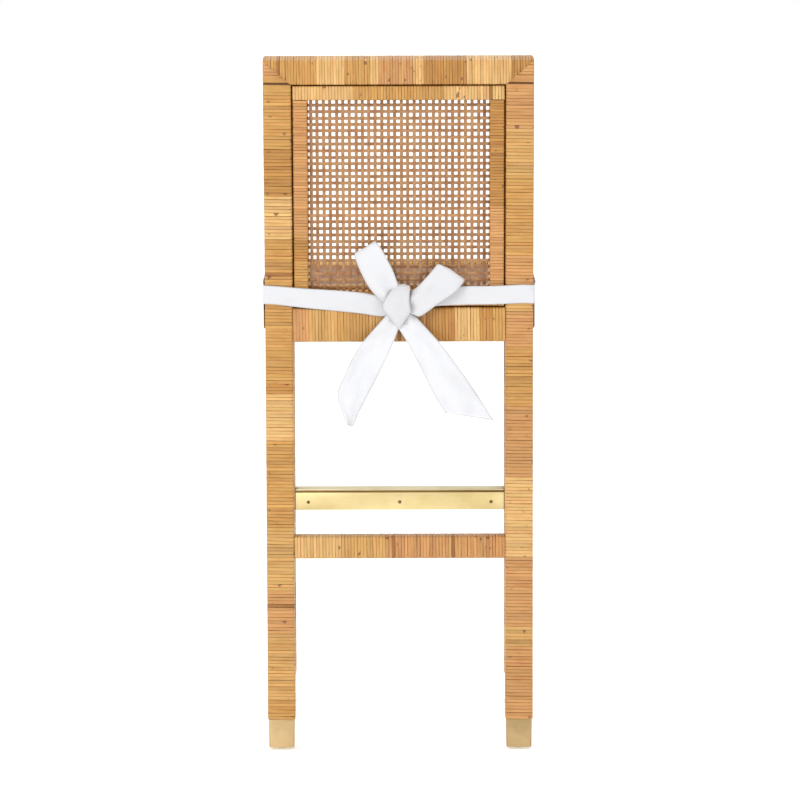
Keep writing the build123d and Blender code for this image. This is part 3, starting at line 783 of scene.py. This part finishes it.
def weave(name, wide, tall, to_stool, pitch, strand_wide, first, tint_and_shade, pieces_cut=()):
    """A plain weave, wide along local X and tall along local Y, centred on the origin.

    pitch is the spacing along X and along Y, first is how far inside the left and the
    top edge the first strand's middle lies, and the next argument multiplies the strands' colours: a colour
    cast on the back, and painted shade on the seat."""
    pitch_x, pitch_y = pitch
    loose = strand_wide < pitch_x * LOOSE
    lift = CANE_THICK * 0.56
    upright = Matrix.Rotation(math.pi / 2, 4, "Z")
    strands = []
    start_x, start_y = first[0] - wide / 2, tall / 2 - first[1]

    def lay(model, turn, offset, start, pitch, parity):
        """Copies a strand sideways by an offset and waves it over and under its crossings."""
        mesh = model.copy()
        lean = rng.gauss(0, 0.00035) if loose else 0.0
        for v in mesh.vertices:
            wave = math.cos(math.pi * (v.co.x - start) / pitch)
            v.co.z += parity * lift * wave
            v.co.y += lean + 0.0003 * noise.noise((v.co.x * 14, offset * 90, parity))
        mesh.transform(Matrix.Translation((0, offset, 0)) if turn is None
                       else turn @ Matrix.Translation((0, -offset, 0)))
        light = rng.gauss(1.0, 0.08)
        base = rng.choices(CANE_PALETTE, CANE_WEIGHTS)[0]
        paint(mesh, tuple(c * t * light for c, t in zip(base, tint_and_shade)), rng.random())
        strands.append(put("strand", mesh))

    level = one_strand(wide, strand_wide, pitch_x)
    row, y = 0, start_y
    while y > -tall / 2 + strand_wide / 2:
        if y < tall / 2 - strand_wide / 4:
            lay(level, None, y, start_x, pitch_x, 1 if row % 2 else -1)
        row, y = row + 1, y - pitch_y
    stood = one_strand(tall, strand_wide, pitch_y)
    column, x = 0, start_x
    while x < wide / 2 - strand_wide / 4:
        if x > -wide / 2 + strand_wide / 4:
            lay(stood, upright, x, start_y, pitch_y, -1 if column % 2 else 1)
        column, x = column + 1, x + pitch_x
    woven = join(strands, name)
    woven.data.transform(to_stool)
    for point, normal in pieces_cut:
        cut_away(woven, point, normal)
    return woven


def all_cane(cane):
    """The woven sheets of the back and of the seat."""
    low, high = leaning_box("back_cane")
    middle = (low + high) / 2
    stand = Matrix.Rotation(math.pi / 2, 4, "X")
    to_stool = BACK @ Matrix.Translation(middle) @ stand
    back = weave("back_cane_weave", high.x - low.x, high.z - low.z, to_stool,
                 CANE_PITCH, CANE_WIDE, (-0.0050, -0.0015), (0.86, 0.79, 0.69))
    stands_for(back, cane, "cane", "back_cane")

    low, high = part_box("seat_cane")
    middle = (low + high) / 2
    _, back_right, _, front_right = corner_points("seat_cane")
    cuts = []
    for sx in (-1, 1):
        edge = Vector((sx * (front_right - back_right), high.y - low.y, 0))
        outward = Vector((sx * edge.y, -sx * edge.x, 0)).normalized()
        cuts.append((Vector((sx * back_right, low.y, middle.z)), outward))
    # the seat's colour factor is darker and warmer than the back's: painted shade on the seat
    seat = weave("seat_cane_weave", high.x - low.x, high.y - low.y, Matrix.Translation(middle),
                 (SEAT_PITCH, SEAT_PITCH), SEAT_PITCH * 0.94, (SEAT_PITCH / 2, SEAT_PITCH / 2),
                 (0.64, 0.48, 0.29), cuts)
    stands_for(seat, cane, "cane", "seat_cane")


# ------------------------------------------------------------------ ribbon

KNOT = Vector((0.0, 0.0, 0.760))
# the knot lies on the back frame's rear face
KNOT.y = (BACK @ Vector((0, 0, (KNOT.z - BEND_Z) / math.cos(RAKE)))).y
CANVAS_THICK = 0.0011
STEP = 0.0035  # the cloth has a row of points about this often
ROW_POINTS = 13  # points across the cloth
GATHER = 0.035  # the gathers fade over this length from the knot
MM = 0.001
BOW = 1.022  # size of the bow


def smooth_curve(points):
    """Close points along a smooth curve through the given ones."""
    ends = [points[0] * 2 - points[1], *points, points[-1] * 2 - points[-2]]
    fine = []
    for a, b, c, d in zip(ends, ends[1:], ends[2:], ends[3:]):
        for k in range(24):
            t = k / 24
            fine.append(0.5 * (2 * b + (c - a) * t + (2 * a - 5 * b + 4 * c - d) * t ** 2
                               + (3 * b - a - 3 * c + d) * t ** 3))
    return [*fine, points[-1]]


def strip(name, edge_a, edge_b, bulge=0.0, ripple=0.0, seed=0.0, cut=False, pleat=0.0, painted_light=1.0):
    """A sheet of cloth between two smooth edges, with metres of cloth in its UV map.

    bulge lifts its middle, ripple is the height of its creases, cut says that it
    ends in a hem, pleat is the height of the gathers where it leaves the knot, and
    the last argument is the piece's painted shade: the share of the canvas's colour that it keeps."""
    side_a, side_b = smooth_curve(edge_a), smooth_curve(edge_b)
    rows, lengths = [], []
    walked = 0.0
    last = None
    for a, b in zip(side_a, side_b):
        middle = (a + b) / 2
        if last is not None and (middle - last).length < STEP * 0.7:
            continue
        walked += (middle - last).length if last is not None else 0.0
        last = middle
        rows.append((a, b))
        lengths.append(walked)
    verts, cloth, edges = [], [], []
    for n, (a, b) in enumerate(rows):
        ahead = rows[min(n + 1, len(rows) - 1)]
        behind = rows[max(n - 1, 0)]
        along = (ahead[0] + ahead[1] - behind[0] - behind[1]).normalized()
        up = (b - a).cross(along).normalized()
        wide = (b - a).length
        for k in range(ROW_POINTS):
            share = k / (ROW_POINTS - 1)
            point = a.lerp(b, share)
            lift = bulge * (1 - (2 * share - 1) ** 2)
            lift += ripple * noise.noise((share * 1.6 + seed, lengths[n] * 17, seed * 3))
            lift += ripple * 0.22 * noise.noise((share * 4 + seed, lengths[n] * 45, seed * 7))
            near = math.exp(-((lengths[n] / GATHER) ** 2))
            near += 0.0 if cut else math.exp(-(((walked - lengths[n]) / GATHER) ** 2))
            lift += pleat * near * math.cos(share * 9.4 + seed)
            verts.append(point + up * lift)
            cloth.append((share * wide, lengths[n]))
            edges.append(min(share, 1 - share) * wide)
    faces = []
    for n in range(len(rows) - 1):
        for k in range(ROW_POINTS - 1):
            first = n * ROW_POINTS + k
            faces.append((first, first + 1, first + ROW_POINTS + 1, first + ROW_POINTS))
    mesh = bpy.data.meshes.new(name)
    mesh.from_pydata(verts, [], faces)
    layer = mesh.uv_layers.new(name="cloth")
    for loop in mesh.loops:
        layer.data[loop.index].uv = cloth[loop.vertex_index]
    if cut:
        edges = [min(e, max(0.0, walked - c[1])) for e, c in zip(edges, cloth)]
    mesh.attributes.new("edge", "FLOAT", "POINT").data.foreach_set("value", edges)
    # the piece's painted shade, as a share of the canvas's colour
    mesh.attributes.new("painted_light", "FLOAT", "POINT").data.foreach_set("value", [painted_light] * len(verts))
    for face in mesh.polygons:
        face.use_smooth = True
    piece = put(name, mesh)
    activate(piece)
    thickness = piece.modifiers.new("thickness", "SOLIDIFY")
    thickness.thickness = CANVAS_THICK
    thickness.offset = 0.0
    bpy.ops.object.modifier_apply(modifier="thickness")
    return piece


def by_knot(*places):
    """Points given in millimetres from the middle of the knot: right, forward, up."""
    return [KNOT + Vector((x * BOW, y, z * BOW)) * MM for x, y, z in places]


BAND_HALF = 0.0158  # half the band's height
FRONT_Z = 0.757  # the band's middle across the front
POST_Z = KNOT.z + 0.0205  # and on the rear posts
REAR_HALF = 0.2266  # from the middle to the band's outside on a rear post
SIDE_HALF = 0.2290  # and where it leaves the post for the side rail
TIP = math.tan(RAKE)


def canvas_piece(node, edges, shape):
    """A strip of canvas between two edges, which stands for a node."""
    piece = strip(f"{node}_canvas", *edges, **shape)
    stands_for(piece, CANVAS, "canvas", node)


def pair(x, y, z, lean=0.0, high=BAND_HALF, low=BAND_HALF):
    """Lower and upper edge of the band at one place; lean tips it with the back."""
    return (Vector((x, y + low * lean, z - low)), Vector((x, y - high * lean, z + high)))


def band_path():
    """The band's two edges at each place: from the knot round the seat and back to the knot."""
    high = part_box("ribbon_band")[1]
    front = high.y - 0.0006
    front_half = high.x - 0.0006
    drift = (front_half - SIDE_HALF) / 0.40
    rear_y = (BACK @ Vector((0, -0.0018, (POST_Z - BEND_Z) / math.cos(RAKE)))).y

    def round_post(sign):
        """Round a rear post and on to the side rail."""
        return [
            pair(sign * 0.220, rear_y, POST_Z, TIP),
            pair(sign * (REAR_HALF - 0.0012), rear_y + 0.0012, POST_Z, TIP * 0.7),
            pair(sign * REAR_HALF, rear_y + 0.006, POST_Z),
            pair(sign * SIDE_HALF, rear_y + 0.052, POST_Z - 0.002),
            pair(sign * (SIDE_HALF + drift * 0.12), rear_y + 0.12, POST_Z - 0.005),
        ]

    def round_front(sign):
        """Along a side rail and round its front corner."""
        return [
            pair(sign * (front_half - drift * 0.16), front - 0.16, FRONT_Z + 0.008),
            pair(sign * (front_half - 0.0003), front - 0.014, FRONT_Z),
            pair(sign * front_half, front - 0.005, FRONT_Z),
            pair(sign * (front_half - 0.0014), front - 0.0014, FRONT_Z),
            pair(sign * (front_half - 0.005), front, FRONT_Z),
            pair(sign * (front_half - 0.016), front, FRONT_Z),
        ]

    right = [
        pair(0.012, KNOT.y - 0.0030, KNOT.z + 0.002, TIP, 0.013, 0.013),
        pair(0.034, KNOT.y - 0.0026, KNOT.z + 0.005, TIP, 0.0165, 0.0135),
        pair(0.060, KNOT.y - 0.0024, KNOT.z + 0.015, TIP, 0.0165, 0.0150),
        pair(0.100, KNOT.y - 0.0022, KNOT.z + 0.0182, TIP, 0.0160, 0.0160),
        pair(0.160, rear_y + 0.0002, KNOT.z + 0.0190, TIP, 0.0158, 0.0158),
        pair(0.205, rear_y, POST_Z + 0.0004, TIP),
    ]
    left = [
        pair(-0.012, KNOT.y - 0.0032, KNOT.z - 0.001, TIP, 0.015, 0.015),
        pair(-0.034, KNOT.y - 0.0028, KNOT.z + 0.001, TIP, 0.0175, 0.0175),
        pair(-0.066, KNOT.y - 0.0024, KNOT.z + 0.006, TIP, 0.0182, 0.0178),
        pair(-0.110, KNOT.y - 0.0022, KNOT.z + 0.0100, TIP, 0.0180, 0.0172),
        pair(-0.165, rear_y + 0.0002, KNOT.z + 0.0150, TIP, 0.0168, 0.0162),
        pair(-0.205, rear_y, POST_Z - 0.001, TIP),
    ]
    across = [pair(x, front, FRONT_Z) for x in (-0.10, 0.0, 0.10)]
    there = left + round_post(-1) + round_front(-1)
    back = right + round_post(1) + round_front(1)
    path = there + across + back[::-1]
    return [lower for lower, _ in path], [upper for _, upper in path]


def loops():
    """The bow's two loops, each out from the knot and back."""
    edges = (
        by_knot((-18, -7, -4), (-29, -9, 9), (-48, -13, 31), (-62, -16, 57), (-71, -17, 79),
                (-72.6, -16, 85), (-73, -13.5, 87.5), (-72.4, -11, 85), (-70, -10, 78), (-60, -9, 58),
                (-46, -7, 33), (-22, -5, 8)),
        by_knot((6, -7, 18), (2, -10, 27), (-5, -16, 48), (-13, -18.5, 68), (-28, -19.5, 97),
                (-34.5, -18.5, 104), (-36.5, -16, 106.5), (-35.5, -13.5, 104), (-29, -12.5, 96),
                (-14, -11, 66), (-7, -8, 46), (2, -5, 20)))
    canvas_piece("ribbon_loop_left", edges,
                 {"bulge": 0.0022, "ripple": 0.0050, "seed": 4.0, "pleat": 0.0032, "painted_light": 0.92})
    edges = (
        by_knot((14, -7, -10), (24, -9, -12), (36, -11, -14.5), (65, -14, 6), (92, -15.5, 25),
                (104.5, -14, 40), (107.5, -11.5, 43.5), (105, -9, 41.5), (90, -7, 25), (62, -6, 6),
                (20, -5, -4)),
        by_knot((10, -8, 16), (18, -11, 25), (29, -14, 33), (46, -17, 51), (56, -18, 63), (63, -17, 71),
                (65.5, -14.5, 73.5), (64, -12, 71.5), (56, -10.5, 62), (30, -8, 32), (12, -5, 12)))
    canvas_piece("ribbon_loop_right", edges,
                 {"bulge": -0.0022, "ripple": 0.0050, "seed": 9.0, "pleat": 0.0032, "painted_light": 0.88})


def tails():
    """The two tails that hang from the knot, cut on a slant."""
    edges = (
        by_knot((-14, -6, -6), (-25, -8, -18), (-43, -11, -38), (-61, -13, -59), (-77, -15, -84),
                (-90, -17, -112), (-100, -19, -134), (-101, -20, -150), (-94, -22, -172), (-85, -24, -194)),
        by_knot((8, -6, -16), (2, -9, -28), (-4, -12, -44), (-13, -15, -66), (-36, -18, -114),
                (-55, -21, -150), (-65, -22.5, -170), (-70, -23, -181), (-74, -24, -190), (-78, -24, -197)))
    canvas_piece("ribbon_tail_left", edges,
                 {"bulge": -0.0020, "ripple": 0.0105, "seed": 14.0, "cut": True, "pleat": 0.0034,
                  "painted_light": 0.965})
    edges = (
        by_knot((-6, -8, -16), (-2, -10, -33), (15, -14, -61), (28, -16, -86), (41, -18, -112),
                (60, -21, -150), (76, -23, -175)),
        by_knot((16, -6, -2), (22, -7, -10), (46, -10, -36), (69, -13, -62), (92, -16, -92),
                (120, -19, -132), (156, -23, -188)))
    canvas_piece("ribbon_tail_right", edges,
                 {"bulge": -0.0020, "ripple": 0.0085, "seed": 21.0, "cut": True, "pleat": 0.0034,
                  "painted_light": 0.965})


def ribbon():
    """The canvas ribbon: the band round the seat, the two loops, the two tails and the knot."""
    # each piece's last value is its painted shade: the knot darkest, the tails lightest
    canvas_piece("ribbon_band", band_path(), {"ripple": 0.0004, "seed": 1.0, "painted_light": 0.89})
    loops()
    tails()
    edges = (
        by_knot((-6, -4, 26), (-6.5, -9, 33), (-14, -16, 26), (-23, -19, 13), (-27.5, -19, 3),
                (-25, -19, -5), (-17, -18, -15), (-8, -14, -27), (-3, -9, -33), (-2, -3, -30)),
        by_knot((16, -4, 28), (17.5, -9, 34), (18.5, -15, 31), (17.5, -20, 23), (17, -21, 12), (18, -21, 2),
                (19, -20, -6), (10, -16, -20), (2, -10, -32), (2, -3, -29)))
    canvas_piece("ribbon_knot", edges, {"bulge": -0.0042, "ripple": 0.0024, "seed": 30.0, "painted_light": 0.84})


# ----------------------------------------------------- feet and brass plates

def set_in(piece, box):
    """Moves a piece that is centred on the origin to the middle of a box."""
    piece.data.transform(Matrix.Translation((box[0] + box[1]) / 2))


def ferrule(size):
    """A square brass cup, rounded at its corners and a little narrower at its foot."""
    cup = new_box("cup", size)
    pick(cup, "EDGE", lambda a, b: abs(a.z - b.z) > size.z / 2)
    bpy.ops.mesh.bevel(offset=0.0030, segments=4, affect="EDGES")
    bpy.ops.object.mode_set(mode="OBJECT")
    pick(cup, "FACE", lambda face: face.normal.z < -0.9)
    bpy.ops.transform.resize(value=(0.965, 0.965, 1.0))
    bpy.ops.object.mode_set(mode="OBJECT")
    pick(cup, "FACE", lambda face: face.normal.z > 0.9)
    bpy.ops.mesh.inset(thickness=0.0011)
    bpy.ops.mesh.extrude_region_move(TRANSFORM_OT_translate={"value": (0, 0, -size.z + 0.002)})
    bpy.ops.object.mode_set(mode="OBJECT")
    pick(cup, "EDGE", lambda a, b: max(a.z, b.z) < -size.z / 2 + 1e-5)
    bpy.ops.mesh.bevel(offset=0.0009, segments=2, affect="EDGES")
    bpy.ops.object.mode_set(mode="OBJECT")
    pick(cup, "EDGE", lambda a, b: min(a.z, b.z) > size.z / 2 - 1e-5)
    bpy.ops.mesh.bevel(offset=0.0003, segments=2, affect="EDGES")
    bpy.ops.object.mode_set(mode="OBJECT")
    smooth(cup, 35)
    return cup


def glide(size):
    """A shallow domed foot, flat where it meets the floor."""
    deselect()
    bpy.ops.mesh.primitive_uv_sphere_add(segments=48, ring_count=32, radius=size.x / 2)
    dome = bpy.context.object
    dome.name = "dome"
    bpy.ops.object.mode_set(mode="EDIT")
    bpy.ops.mesh.select_all(action="SELECT")
    bpy.ops.transform.resize(value=(1.0, 1.0, 2 * size.z / size.x * 1.045))
    bpy.ops.object.mode_set(mode="OBJECT")
    cut_away(dome, Vector((0, 0, -size.z)), Vector((0, 0, -1)))
    cut_away(dome, Vector((0, 0, 0)), Vector((0, 0, 1)))
    dome.data.transform(Matrix.Translation((0, 0, size.z / 2)))
    smooth(dome, 30)
    return dome


def feet():
    """Four ferrules and four glides."""
    for kind, model, metal in (("ferrule", ferrule, FERRULE_BRASS), ("glide", glide, GLIDE)):
        first = None
        for place in ("rear_left", "rear_right", "front_left", "front_right"):
            low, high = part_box(f"{kind}_{place}")
            if kind == "glide":
                high = Vector((high.x, high.y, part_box(f"ferrule_{place}")[0].z + 0.0004))
            if first is None:
                first = model(high - low)
                piece = first
                shape = first.data.copy()
            else:
                piece = put(kind, shape.copy())
            piece.name = f"{kind}_{place}_metal"
            set_in(piece, (low, high))
            stands_for(piece, metal, "brass" if kind == "ferrule" else "glide", f"{kind}_{place}")


def soften(piece, width):
    """Breaks a piece's sharp edges."""
    activate(piece)
    edge = piece.modifiers.new("edge", "BEVEL")
    edge.width = width
    edge.segments = 2
    edge.limit_method = "ANGLE"
    bpy.ops.object.modifier_apply(modifier="edge")
    smooth(piece, 35)


def carve(piece, cutter):
    """Cuts one piece out of another and removes the cutter."""
    activate(piece)
    cut = piece.modifiers.new("cut", "BOOLEAN")
    cut.operation = "DIFFERENCE"
    cut.solver = "EXACT"
    cut.object = cutter
    bpy.ops.object.modifier_apply(modifier="cut")
    bpy.data.objects.remove(cutter)


def plates():
    """The footrest's brass angle and rear plate, with their screws."""
    back_low, back_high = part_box("footplate_back")
    brass = back_high.y - back_low.y
    plate = new_box("footplate_back_metal", back_high - back_low, (back_low + back_high) / 2)
    soften(plate, 0.0005)
    stands_for(plate, BRASS, "brass", "footplate_back")

    low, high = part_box("footplate_angle")
    angle = new_box("footplate_angle_metal", high - low, (low + high) / 2)
    inside = Vector((high.x - low.x + 0.01, high.y - low.y, high.z - low.z))
    carve(angle, new_box("inside", inside, (low + high) / 2 - Vector((0, brass, brass))))
    soften(angle, 0.0008)
    stands_for(angle, DULL_BRASS, "brass", "footplate_angle")

    screw_low, screw_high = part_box("footplate_screws")
    middle_z = (screw_low.z + screw_high.z) / 2
    reach = (screw_high.x - screw_low.x) / 2 - 0.0024
    heads = []
    for y, way in ((back_low.y, -1), (high.y, 1)):
        for x in (-reach, 0.0, reach):
            heads.append(screw_head((x, y, middle_z), way))
    stands_for(join(heads, "footplate_screw_heads"), DARK, "dark_screw", "footplate_screws")


def screw_head(place, way):
    """An oval screw head with a cross recess, facing along Y."""
    deselect()
    bpy.ops.mesh.primitive_cylinder_add(vertices=28, radius=SCREW_HEAD, depth=0.0016)
    head = bpy.context.object
    pick(head, "FACE", lambda face: face.normal.z > 0.9)
    bpy.ops.mesh.bevel(offset=0.0007, segments=3, affect="EDGES")
    bpy.ops.object.mode_set(mode="OBJECT")
    for size in ((0.0026, 0.0006, 0.001), (0.0006, 0.0026, 0.001)):
        carve(head, new_box("slot", size, (0, 0, 0.0009)))
    smooth(head, 30)
    turned = Matrix.Rotation(-way * math.pi / 2, 4, "X")
    turned = turned @ Matrix.Rotation(rng.uniform(0, 1.5), 4, "Z")
    head.data.transform(Matrix.Translation(place) @ turned)
    return head


# ------------------------------------------------------------ stage, camera

def stage():
    """A pale floor that runs out of sight, soft lights and a bright surround."""
    deselect()
    bpy.ops.mesh.primitive_plane_add(size=40.0, location=(0, 0, -0.0002))
    floor = bpy.context.object
    floor.name = "floor"
    bpy.ops.object.transform_apply(location=True, rotation=True, scale=True)
    f = Finish("pale_floor", Roughness=0.95, Specular_IOR_Level=0.1,
               Emission_Color=(1, 1, 1, 1), Emission_Strength=0.34)
    cloud = f.noise(f.place(), 0.7, 2.0, 0.5)
    f.set("Base Color", f.mix(cloud, (0.89, 0.89, 0.89), (0.91, 0.91, 0.91)))
    dress(floor, f.material)

    world = bpy.data.worlds.new("surround")
    bpy.context.scene.world = world
    world.use_nodes = True
    sky = world.node_tree.nodes["Background"].inputs
    sky["Color"].default_value = (1.0, 1.0, 1.0, 1.0)
    sky["Strength"].default_value = 1.0
    for name, place, aim, size, power in (
        ("key", (-2.2, -3.6, 3.4), (0, 0, 0.7), 2.0, 108.0),
        ("fill", (3.2, -2.6, 1.6), (0, 0, 0.6), 2.6, 20.0),
        ("top", (0.3, 0.8, 4.2), (0, 0, 0.5), 2.6, 40.0),
    ):
        light = bpy.data.lights.new(name, "AREA")
        light.size = size
        light.energy = power
        lamp = bpy.data.objects.new(name, light)
        bpy.context.collection.objects.link(lamp)
        lamp.location = place
        lamp.rotation_euler = (Vector(aim) - Vector(place)).to_track_quat("-Z", "Y").to_euler()
    bpy.context.scene.view_settings.view_transform = "Standard"


def camera():
    """Straight behind the stool, a little above the seat, with a long lens."""
    distance, height, view_wide = 8.0, 1.7, 1.333
    aside = 0.0010
    data = bpy.data.cameras.new("camera")
    data.sensor_width = 36.0
    data.lens = 36.0 * distance / view_wide
    eye = bpy.data.objects.new("camera", data)
    bpy.context.collection.objects.link(eye)
    eye.location = (aside, REAR_Y - distance, height)
    aim = Vector((aside, REAR_Y, 0.6005))
    look = (aim - eye.location).to_track_quat("-Z", "Y").to_matrix()
    look = look @ Matrix.Rotation(-ROLL, 3, "Z")
    eye.rotation_euler = look.to_euler()
    bpy.context.scene.camera = eye


# how quickly a timber's grain changes along X, Y and Z
GRAIN_UP = (60.0, 60.0, 9.0)
GRAIN_ACROSS = (9.0, 60.0, 60.0)
GRAIN_EVEN = (60.0, 60.0, 60.0)

RATTAN = wound_rattan()
CANE = woven_cane()
BRASS = satin_brass("satin_brass", (0.81, 0.69, 0.37), (0.74, 0.61, 0.29))
DULL_BRASS = satin_brass("dull_brass", (0.68, 0.61, 0.40), (0.60, 0.52, 0.32))
# the ferrules' last value is painted shade on the right-hand pair
FERRULE_BRASS = satin_brass("ferrule_brass", (0.60, 0.44, 0.235), (0.47, 0.34, 0.165), 0.36)
CORE = plain_wood("core_wood", (0.42, 0.20, 0.10), (0.24, 0.10, 0.05), GRAIN_UP, 0.55)
BEECH = plain_wood("beech", (0.72, 0.50, 0.30), (0.58, 0.36, 0.20), GRAIN_EVEN, 0.6)
GLIDE = satin_brass("glide_metal", (0.68, 0.62, 0.42), (0.56, 0.50, 0.32))
DARK = dark_metal("dark_screw", (0.16, 0.10, 0.035), (0.24, 0.16, 0.06))
ZINC = dark_metal("zinc_screw", (0.42, 0.42, 0.42), (0.6, 0.6, 0.6))
CANVAS = canvas()

SLOT_FINISH = {
    "rattan": RATTAN, "cane": CANE, "cane_spline": BEECH, "core_wood": CORE, "beech": BEECH,
    "brass": BRASS, "dark_screw": DARK, "steel_screw": ZINC, "glide": GLIDE, "canvas": CANVAS,
}
# painted shade: the packing in the narrow gap round the cane panel is near-black and dull
PACKING_SHADE = plain_wood("painted_gap_shade", (0.075, 0.020, 0.004), (0.040, 0.012, 0.002), GRAIN_UP, 0.9, 0.05)
FOOT_WOOD = plain_wood("footrest_wood", (0.26, 0.155, 0.030), (0.19, 0.105, 0.018), GRAIN_ACROSS, 0.6)
slot_of = {s["node"]: s["material_slot"] for s in frame["record"]["subparts"]}
for node, piece in frame["nodes"].items():
    finish = {"panel_packing": PACKING_SHADE, "footrest_rail": FOOT_WOOD}.get(node, SLOT_FINISH[slot_of[node]])
    dress(piece, finish)

wind_all(RATTAN)
all_cane(CANE)
ribbon()
feet()
plates()
stage()
camera()
